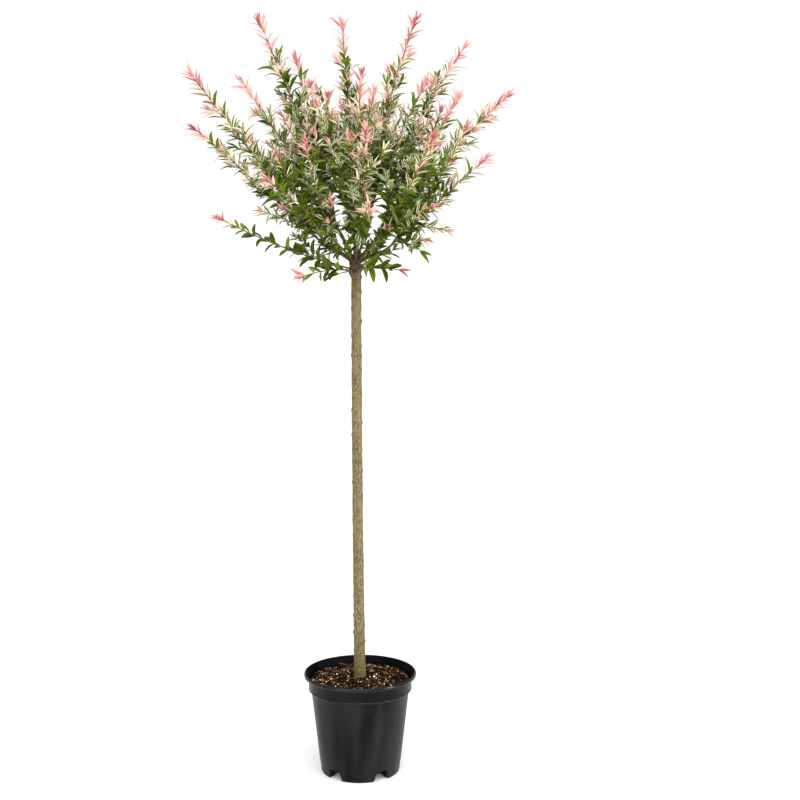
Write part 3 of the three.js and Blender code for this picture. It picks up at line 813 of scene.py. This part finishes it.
masses = []
for name, (_, rows, *start) in (*BOUGHS.items(), *SHOOTS.items()):
    tips = [HEAD + direction(bearing, rise) * (length / 1000) for bearing, rise, length, _ in rows]
    if name in boughs:
        along = boughs[name].heading(1)
        foot, radius = boughs[name].tip + along * SEAT_GAP, boughs[name].tip_radius
    else:
        along = direction(rows[0][0], start[0])
        foot, radius = Vector((HEAD.x, HEAD.y, SHOOTS[name][0] / 1000)), SHOOT_RADIUS
    mains = [whip_from(foot, along, tips[0], radius, rows[0][3], start[1] if start else WHIP_BEND)]
    for tip, row in zip(tips[1:], rows[1:]):
        mains.append(forked(mains[0], FORK_SHARE, tip, SECOND_WHIP_SHARE * radius, row[3]))
    aims = [(whip.at(AIM_SHARE) - HEAD).normalized() for whip in mains]
    masses.append({"name": name, "mains": mains, "aims": aims, "length": rows[0][2] / 1000})


def inside_space(places, mass):
    """True if all the places lie nearer to one of the mass's aims than to any other's."""
    others = [aim for other in masses if other is not mass for aim in other["aims"]]
    return any(
        all(
            (place - HEAD).dot((aim - other).normalized()) > SPACE_MARGIN
            for other in others
            for place in places
        )
        for aim in mass["aims"]
    )


def side_whips(mass, draw):
    """The mass's side whips, forked and aimed as in the solids."""
    whips, turn = [], 360 * draw()
    for i in range(SIDE_WHIPS if mass["name"] in boughs else 1):
        parent = i % len(mass["mains"])
        at, spread, share = (
            low + (high - low) * draw() for low, high in (SIDE_FORK, SIDE_SPREAD, SIDE_REACH)
        )
        turn += GOLDEN_ANGLE
        for ease in SIDE_EASINGS:
            aim = turned_away(mass["aims"][parent], turn, spread * ease)
            reach = crown_reach(rise_of(aim)) if mass["name"] in boughs else mass["length"]
            whip = forked(mass["mains"][parent], at, HEAD + aim * (reach * share), SIDE_WHIP_RADIUS)
            if inside_space([whip.at(t) for t in SIDE_TESTS], mass):
                whips.append(whip)
                break
    return whips


# The last leaves reach on from a whip's tip, and low side whips have been nipped back.
TIP_LEAVES = 0.017
DENSE_LOW = 0.108
DENSE_HIGHER = 0.157
SIDE_PAST_DENSE = 0.045


def dense_reach(rise):
    """How far the leafy middle of the crown reaches at a rise in degrees."""
    share = min(max((rise - 20) / 40, 0), 1)
    return DENSE_LOW + DENSE_HIGHER * share * share * (3 - 2 * share)


whips = []
for index, mass in enumerate(masses):
    whips += [whip.cut_short(TIP_LEAVES) for whip in mass["mains"]]
    low = mass["name"] not in boughs
    for whip in side_whips(mass, seeded(GROWTH_SEED + index)):
        out = whip.tip - HEAD
        rise = rise_of(out.normalized())
        limit = dense_reach(rise) + (SIDE_PAST_DENSE if rise > 44 else 0.0)
        past = 0.5 * whip.length if low else max(0.0, out.length - limit)
        past *= 0.3 if mass["name"] == "low_right" else 1.0
        whips.append(whip.cut_short(TIP_LEAVES + min(past, 0.5 * whip.length)))

TWIG_SEED = 5
twig_draw = np.random.default_rng(TWIG_SEED)


def fork_places(whip, zone, apart, shortest=0.0):
    """Places where a whip forks: how far along it, and the turn about it."""
    along, turn = zone[0] * whip.length, twig_draw.uniform(0, 360)
    while whip.length > shortest and along < zone[1] * whip.length:
        turn += GOLDEN_ANGLE + twig_draw.uniform(-20, 20)
        yield along, turn
        along += apart * twig_draw.uniform(0.7, 1.3)


# Fine twigs fork off every whip in its lower part, where the crown is dense, but leave
# the middle round the head open.
TWIG_APART = 0.025
TWIG_ZONE = (0.16, 0.66)
TWIG_RADIUS = 0.0009
TWIG_LENGTH = (0.045, 0.125)
TWIG_ANGLE = (26, 46)
OPEN_MIDDLE = 0.075
twigs = []
for whip in whips:
    for along, turn in fork_places(whip, TWIG_ZONE, TWIG_APART):
        t = along / whip.length
        length = min(twig_draw.uniform(*TWIG_LENGTH), 0.75 * (whip.length - along))
        away = turned_away(whip.heading(t), turn, twig_draw.uniform(*TWIG_ANGLE))
        foot = whip.at(t)
        tip = foot + (away * 0.75 + whip.heading(t) * 0.2 + UP * 0.08) * length
        out = tip - HEAD
        if OPEN_MIDDLE < out.length < dense_reach(rise_of(out.normalized())):
            twigs.append(Limb(foot, foot + away * (0.5 * length), tip, TWIG_RADIUS, 0.0004))

# Short spurs thicken the outer part of the long whips.
SPUR_APART = 0.013
SPUR_ZONE = (0.40, 0.86)
SPUR_LENGTH = (0.014, 0.032)
SPUR_ANGLE = (18, 34)
LONG_WHIP = 0.24
spurs = []
for whip in whips:
    for along, turn in fork_places(whip, SPUR_ZONE, SPUR_APART, LONG_WHIP):
        t = along / whip.length
        away = turned_away(whip.heading(t), turn, twig_draw.uniform(*SPUR_ANGLE))
        length = min(twig_draw.uniform(*SPUR_LENGTH), 0.38 * (whip.length - along))
        foot = whip.at(t)
        spur = Limb(foot, foot + away * (0.5 * length), foot + away * length, 0.0008, 0.0005)
        spurs.append((spur, whip.length - along))

# Short leafy sprigs break from old buds and clothe the lowest boughs.
SPRIGS = 16
SPRIG_BOUGHS = ("left", "left_front", "low_right", "left_back", "front_right", "back_right")
SPRIG_LENGTH = (0.022, 0.044)
sprigs = []
for k in range(SPRIGS):
    bough = boughs[SPRIG_BOUGHS[k % len(SPRIG_BOUGHS)]]
    foot = bough.at(twig_draw.uniform(0.25, 1.0))
    away = turned_away(bough.heading(0.5), k * GOLDEN_ANGLE, twig_draw.uniform(25, 55))
    length = twig_draw.uniform(*SPRIG_LENGTH)
    tip = foot + (away * 0.8 + UP * 0.3) * length
    sprigs.append(Limb(foot, foot + away * (0.5 * length), tip, 0.0009, 0.0005))

# One older side shoot arches out from the lowest bough on the right and droops.
DROOPING_BEND = HEAD + Vector((0.078, -0.026, 0.048))
DROOPING_TIP = HEAD + Vector((0.104, -0.036, 0.022))
drooping = Limb(boughs["low_right"].at(0.8), DROOPING_BEND, DROOPING_TIP, 0.0011, 0.0006)

twig_bark, tree = new_finish("young_bark", Roughness=0.55, Specular_IOR_Level=0.35)
place = tree.nodes.new("ShaderNodeTexCoord")
reach = tree.nodes.new("ShaderNodeVectorMath")
reach.operation = "DISTANCE"
reach.inputs[1].default_value = HEAD
tree.links.new(place.outputs["Object"], reach.inputs[0])
young = spread_over(tree, reach.outputs["Value"], 0.12, 0.33)
streaks = spread_over(tree, patch(tree, 240, 3), 0.35, 0.65)
older = tinted(tree, streaks, (88, 68, 40), (124, 104, 60))
reddish = tinted(tree, streaks, (134, 68, 44), (176, 96, 62))
feed(tree, tinted(tree, young, older, reddish), "Base Color")
raise_by(tree, patch(tree, 1800, 3), 0.0002)
foliage = [f"foliage_{mass['name']}" for mass in masses]
for name, limbs, steps, roundness in (
    ("whips", whips, lambda limb: max(5, round(limb.length / 0.022)), 1),
    ("fine_twigs", [*twigs, *sprigs, drooping, *(spur for spur, _ in spurs)], lambda limb: 5, 0),
):
    piece = settle(rods(name, limbs, steps, roundness), name)
    bpy.ops.object.shade_smooth()
    piece.data.materials.append(twig_bark)
    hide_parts(*foliage)
    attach(piece, "root")


# Leaves
# Narrow willow leaves in opposite pairs every few millimetres. The youngest at the tips
# come out coral and pink, turn cream, then green with cream margins, and the oldest
# inside the crown are plain green. They grow from the bark on short stalks.

LEAF_SEED = 31
PAIR_APART = 0.0040
OLD_PAIR_APART = 0.0074
SPRAY_LENGTH = 0.014
# A young leaf's size, how far from a tip leaves are old, and how much shorter and wider
# an old one is. The pink and cream kinds hardly widen.
LEAF_LENGTH = 0.0285
LEAF_WIDTH = 0.0064
OLD_AT = 0.13
OLD_SHORTER = 0.006
OLD_WIDER = 0.0024
OLD_NARROW_WIDER = 0.0004
# Rows of corners across a blade: the share of its length, and of half its width.
NARROW_ROWS = ((0.0, 0.12), (0.10, 0.55), (0.28, 1.0), (0.50, 0.92), (0.72, 0.62), (0.88, 0.30))
BROAD_ROWS = ((0.0, 0.10), (0.10, 0.44), (0.28, 0.88), (0.50, 1.0), (0.72, 0.88), (0.90, 0.50))
MARGIN_SHARE = 0.62
FOLD = 0.22
# The light that the leaves turned their faces to: up, and from the front.
LIGHT = Vector((0.0, -0.55, 0.65))

# The kinds of leaf: display colour of the blade, colour of the margin or None, and how
# slim it is against a full-grown green one.
LEAF_KINDS = {
    "coral": ((208, 130, 128), None, 0.76),
    "rose": ((232, 173, 166), None, 0.80),
    "blush": ((240, 204, 192), None, 0.80),
    "flushed": ((168, 148, 92), (244, 213, 195), 0.78),
    "cream": ((248, 238, 210), None, 0.64),
    "margined": ((100, 122, 34), (250, 242, 214), 0.82),
    "pale_green": ((176, 187, 126), None, 0.9),
    "grey_green": ((118, 134, 76), None, 0.92),
    "green": ((101, 123, 26), None, 1.0),
    "deep_green": ((66, 86, 8), None, 1.0),
}
NARROW_KINDS = ("coral", "rose", "blush", "flushed", "cream")
KIND_SLOT = dict.fromkeys(("coral", "rose", "blush", "flushed"), "leaf_pink")
KIND_SLOT |= dict.fromkeys(("cream", "margined"), "leaf_cream")

# What a spray is dealt, by how far it is from the tip of a whip 360 mm long. Each row
# ends its stretch, in millimetres, and gives the shares of the kinds in it.
OUTER_DEALS = (
    (25, dict(coral=0.42, rose=0.58)),
    (47, dict(coral=0.06, rose=0.34, blush=0.34, flushed=0.22, green=0.04)),
    (74, dict(rose=0.05, blush=0.15, flushed=0.2, cream=0.24, margined=0.2, green=0.16)),
    (
        120,
        dict(
            blush=0.03, cream=0.22, flushed=0.08, margined=0.36,
            pale_green=0.03, green=0.2, deep_green=0.08,
        ),
    ),
    (190, dict(cream=0.17, margined=0.4, pale_green=0.05, grey_green=0.06, green=0.18, deep_green=0.14)),
    (999, dict(margined=0.16, pale_green=0.06, grey_green=0.08, green=0.32, deep_green=0.38)),
)
TWIG_DEALS = (
    (12, dict(rose=0.15, blush=0.25, flushed=0.3, cream=0.3)),
    (36, dict(cream=0.25, flushed=0.1, margined=0.40, green=0.25)),
    (999, dict(margined=0.22, pale_green=0.02, grey_green=0.14, green=0.32, deep_green=0.30)),
)
INNER_DEALS = (
    (12, dict(margined=0.25, pale_green=0.2, grey_green=0.2, green=0.35)),
    (999, dict(margined=0.08, pale_green=0.02, grey_green=0.16, green=0.32, deep_green=0.42)),
)
LOW_DEALS = (
    (14, dict(coral=0.6, rose=0.4)),
    (26, dict(blush=0.4, flushed=0.6)),
    (44, dict(margined=0.5, green=0.5)),
    (999, dict(margined=0.06, green=0.38, deep_green=0.56)),
)
SPRIG_DEALS = ((999, dict(pale_green=0.05, grey_green=0.15, green=0.4, deep_green=0.4)),)

leaf_draw = np.random.default_rng(LEAF_SEED)
leaves = {kind: [] for kind in LEAF_KINDS}


def dealt(deals, from_tip):
    """Deals a spray its kind of leaf."""
    shares = next(shares for limit, shares in deals if from_tip * 1000 < limit)
    pick = leaf_draw.uniform() * sum(shares.values())
    for kind, share in shares.items():
        pick -= share
        if pick <= 0:
            break
    return kind


def add_leaf(kind, root, stalk_way, aim, length, width, curve):
    """One leaf: where it starts, the way its stem runs, the way it points, and its size."""
    up = (stalk_way * 0.7 + LIGHT).normalized()
    up = (up - aim * up.dot(aim)).normalized()
    roll = radians(leaf_draw.normal(0, 30))
    up = up * cos(roll) + aim.cross(up) * sin(roll)
    away = (aim * aim.dot(stalk_way) - stalk_way).normalized()
    droop = leaf_draw.uniform(-0.05, 0.18)
    leaves[kind].append((root, aim, up, away, length, width, droop, curve))


def leaf_out(limb, start, deals, zone, age=0.0, beyond=0.0, apart=OLD_PAIR_APART, size=1.0):
    """Sets a limb with leaf pairs from start to its tip, spray by spray.

    Zone stretches the distances of the deals, age makes its leaves older than their place
    does, and beyond is how much further its whip runs past it.
    """
    along, turn = start, leaf_draw.uniform(0, 360)
    spray_end, pair = 0.0, None
    zone *= leaf_draw.uniform(0.85, 1.2)
    while along < limb.length:
        from_tip = limb.length - along
        if along > spray_end:
            pair = [dealt(deals, (from_tip + beyond) / zone) for _ in range(2)]
            spray_end = along + SPRAY_LENGTH * leaf_draw.uniform(0.4, 1.3)
        t = along / limb.length
        young = exp(-from_tip / 0.028)
        old = min(age + from_tip / OLD_AT, 1.0)
        inner = min(max(from_tip - OLD_AT, 0.0) / 0.12, 1.0)
        for side in (0, 180):
            kind = pair[leaf_draw.integers(2)]
            length = size * (LEAF_LENGTH - OLD_SHORTER * old) * leaf_draw.uniform(0.70, 1.10)
            wider = OLD_NARROW_WIDER if kind in NARROW_KINDS else OLD_WIDER
            width = size * (LEAF_WIDTH + wider * old * old) * leaf_draw.uniform(0.75, 1.12)
            angle = 27 + 14 * old + leaf_draw.uniform(-13, 13)
            aim = turned_away(limb.heading(t), turn + side + leaf_draw.uniform(-25, 25), angle)
            root = limb.at(t) + aim * (limb.thickness(t) * 0.5)
            curve = leaf_draw.uniform(0.05, 0.50) * (1 - 0.2 * young)
            add_leaf(kind, root, limb.heading(t), aim, length, width, curve)
        turn += 90 + leaf_draw.uniform(-25, 25)
        gap = PAIR_APART + (apart - PAIR_APART) * old * (1 + 0.5 * inner)
        along += gap * leaf_draw.uniform(0.7, 1.3)
    tip_kind = dealt(deals, beyond / zone)
    count = 5 if limb.length > 0.12 else 3
    for k in range(count):
        aim = turned_away(limb.heading(1), turn + 360 * k / count, leaf_draw.uniform(4, 20))
        length = size * TIP_LEAVES * leaf_draw.uniform(0.95, 1.5)
        add_leaf(tip_kind, limb.at(1), limb.heading(1), aim, length, 0.0058 * size, 0.1)


# The last eight whips are the four thin shoots from the stem, each with its side whip.
WHIP_LENGTH = 0.36
BARE_START = 0.032
LOW_SHOOTS = 8
for whip in whips[:-LOW_SHOOTS]:
    share = min(whip.length / WHIP_LENGTH, 1.0)
    leaf_out(whip, BARE_START, OUTER_DEALS, max(0.25, share**1.6), size=0.72 + 0.28 * share)
for k, whip in enumerate(whips[-LOW_SHOOTS:]):
    deals, zone = (SPRIG_DEALS, 1.0) if k % 2 else (LOW_DEALS, min(whip.length / 0.2, 1.0))
    size = 1.0 if whip.length > 0.15 else 1.25
    leaf_out(whip, 0.03, deals, zone, age=0.8, apart=0.0098 * size, size=size)
for spur, beyond in spurs:
    leaf_out(spur, 0.004, OUTER_DEALS, 1.0, beyond=0.8 * beyond, size=0.85)
for twig in twigs:
    out = twig.tip - HEAD
    upper = out.length > 0.20 and twig.tip.z > 1.03
    deals = TWIG_DEALS if upper else INNER_DEALS
    leaf_out(twig, 0.008, deals, 1.0, age=0.6, apart=0.0080, size=0.80)
for sprig in sprigs:
    leaf_out(sprig, 0.004, SPRIG_DEALS, 1.0, age=0.5, apart=0.0085, size=0.8)
leaf_out(drooping, 0.030, LOW_DEALS[-1:], 1.0, age=1.0, apart=0.0140, size=1.15)


def leaf_piece(name, blades, rows, slimness, margined):
    """All leaves of one kind as one mesh: six rows of corners across the blade and a tip."""
    across_places = (-1, -MARGIN_SHARE, 0, MARGIN_SHARE, 1) if margined else (-1, 0, 1)
    row_size = len(across_places)
    shape = [(x, y * half, abs(y) * FOLD * half) for x, half in rows for y in across_places]
    shape = np.array([*shape, (1.0, 0.0, 0.0)])
    count = len(shape)
    columns = [np.array(column)[:, None] for column in zip(*blades)]
    root, aim, up, away, length, width, droop, curve = columns
    width = width * slimness
    x, y, z = shape[:, 0], shape[:, 1], shape[:, 2]
    corners = (
        root
        + aim * (x * length)[:, :, None]
        + np.cross(up, aim) * (y * width / 2)[:, :, None]
        + up * (z * width - droop * length * x**2)[:, :, None]
        + away * (curve * length * x**2.4)[:, :, None]
    ).reshape(-1, 3)
    faces, margins = [], []
    for row in range(len(rows)):
        for k in range(row_size - 1):
            a = row * row_size + k
            last = row == len(rows) - 1
            ahead = (count - 1,) if last else (a + 1 + row_size, a + row_size)
            faces.append((a, a + 1, *ahead))
            margins.append(margined and k in (0, row_size - 2))
    all_faces = [tuple(v + i * count for v in face) for i in range(len(blades)) for face in faces]
    piece = mesh_piece(name, corners.tolist(), all_faces)
    mesh = piece.data
    if margined:
        indices = np.tile(np.array(margins, dtype=np.int32), len(blades))
        mesh.polygons.foreach_set("material_index", indices)
    mesh.polygons.foreach_set("use_smooth", np.ones(len(mesh.polygons), dtype=bool))
    # The fold along the midrib stays crisp.
    ends = np.empty(len(mesh.edges) * 2, dtype=np.int32)
    mesh.edges.foreach_get("vertices", ends)
    ends = ends.reshape(-1, 2) % count
    midrib = [row * row_size + row_size // 2 for row in range(len(rows))] + [count - 1]
    mesh.edges.foreach_set("use_edge_sharp", np.isin(ends, midrib).all(axis=1))
    return piece


def leaf_finish(name, colour):
    """A leaf's finish: one plain colour, with a fine uneven satin surface."""
    finish, tree = new_finish(name, Base_Color=srgb(*colour), Specular_IOR_Level=0.14)
    feed(tree, spread_over(tree, patch(tree, 220, 3), 0.3, 0.7, 0.40, 0.60), "Roughness")
    raise_by(tree, patch(tree, 900, 2), 0.00025)
    return finish


for kind, (blade, margin, slimness) in LEAF_KINDS.items():
    rows = NARROW_ROWS if kind in NARROW_KINDS else BROAD_ROWS
    piece = leaf_piece(f"leaves_{kind}", leaves[kind], rows, slimness, margin is not None)
    piece.data.materials.append(leaf_finish(f"leaf_{kind}", blade))
    if margin:
        piece.data.materials.append(leaf_finish(f"leaf_{kind}_edge", margin))
    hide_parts(*foliage)
    KIND_SLOT.get(kind, "leaf_green")
    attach(piece, "root")


# Studio
# A white paper floor under a bright white surround, two soft boxes in front and one
# overhead, and the camera where the photograph was taken from.

FLOOR_SIZE = 400.0
deselect()
bpy.ops.mesh.primitive_plane_add(size=FLOOR_SIZE, location=(0, 0, 0))
paper = settle(bpy.context.object, "paper_floor")
glow = {"Emission_Color": (1, 1, 1, 1), "Emission_Strength": 0.12}
white, tree = new_finish("white_paper", Roughness=0.9, Specular_IOR_Level=0.1, **glow)
feed(tree, tinted(tree, patch(tree, 3, 2), (243, 243, 243), (240, 240, 240)), "Base Color")
paper.data.materials.append(white)
paper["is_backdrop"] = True

# The surround is a white sweep behind the plant and a dimmer room on the camera's side.
world = bpy.data.worlds.new("white_surround")
bpy.context.scene.world = world
world.use_nodes = True
sky = world.node_tree
backdrop = sky.nodes["Background"]
backdrop.inputs["Color"].default_value = (1, 1, 1, 1)
facing = axes_of(sky, "Generated")
brighter = sky.nodes.new("ShaderNodeMath")
brighter.operation = "MAXIMUM"
behind_plant = spread_over(sky, facing["Y"], 0.80, 0.93, 0.28, 1.05)
overhead = spread_over(sky, facing["Z"], 0.25, 0.90, 0.28, 1.25)
sky.links.new(behind_plant, brighter.inputs[0])
sky.links.new(overhead, brighter.inputs[1])
sky.links.new(brighter.outputs[0], backdrop.inputs["Strength"])


def soft_box(name, place, target, width, height, power):
    """An upright soft box that shines from a place at a target."""
    lamp = bpy.data.lights.new(name, "AREA")
    lamp.shape, lamp.size, lamp.size_y, lamp.energy = "RECTANGLE", width, height, power
    turn = (Vector(target) - Vector(place)).to_track_quat("-Z", "Y").to_matrix().to_4x4()
    set_out(name, lamp).matrix_world = Matrix.Translation(place) @ turn


soft_box("left_box", (-1.18, -1.62, 0.62), (0, 0, 0.3), 0.28, 1.2, 9.5)
soft_box("right_box", (1.77, -0.94, 0.62), (0, 0, 0.3), 0.28, 1.2, 22)
daylight = bpy.data.lights.new("overhead_light", "SUN")
daylight.energy = 1.5
daylight.angle = radians(50)
turn = Vector((-0.06, 0.8, -1)).to_track_quat("-Z", "Y").to_matrix().to_4x4()
set_out("overhead_light", daylight).matrix_world = turn

CAMERA_PLACE = Vector((0, -2.298, 0.913))
CAMERA_DOWN = 6.94
CAMERA_RIGHT = 1.68
camera = set_out("camera", bpy.data.cameras.new("camera"))
camera.data.lens = 63.0
camera.data.sensor_width = 36.0
camera.location = CAMERA_PLACE
camera.rotation_euler = (radians(90 - CAMERA_DOWN), 0, radians(-CAMERA_RIGHT))
bpy.context.scene.camera = camera
bpy.context.scene.view_settings.view_transform = "Standard"
bpy.context.scene.view_settings.look = "None"

[[list(corner) for corner in box] for box in (cad_box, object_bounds())]
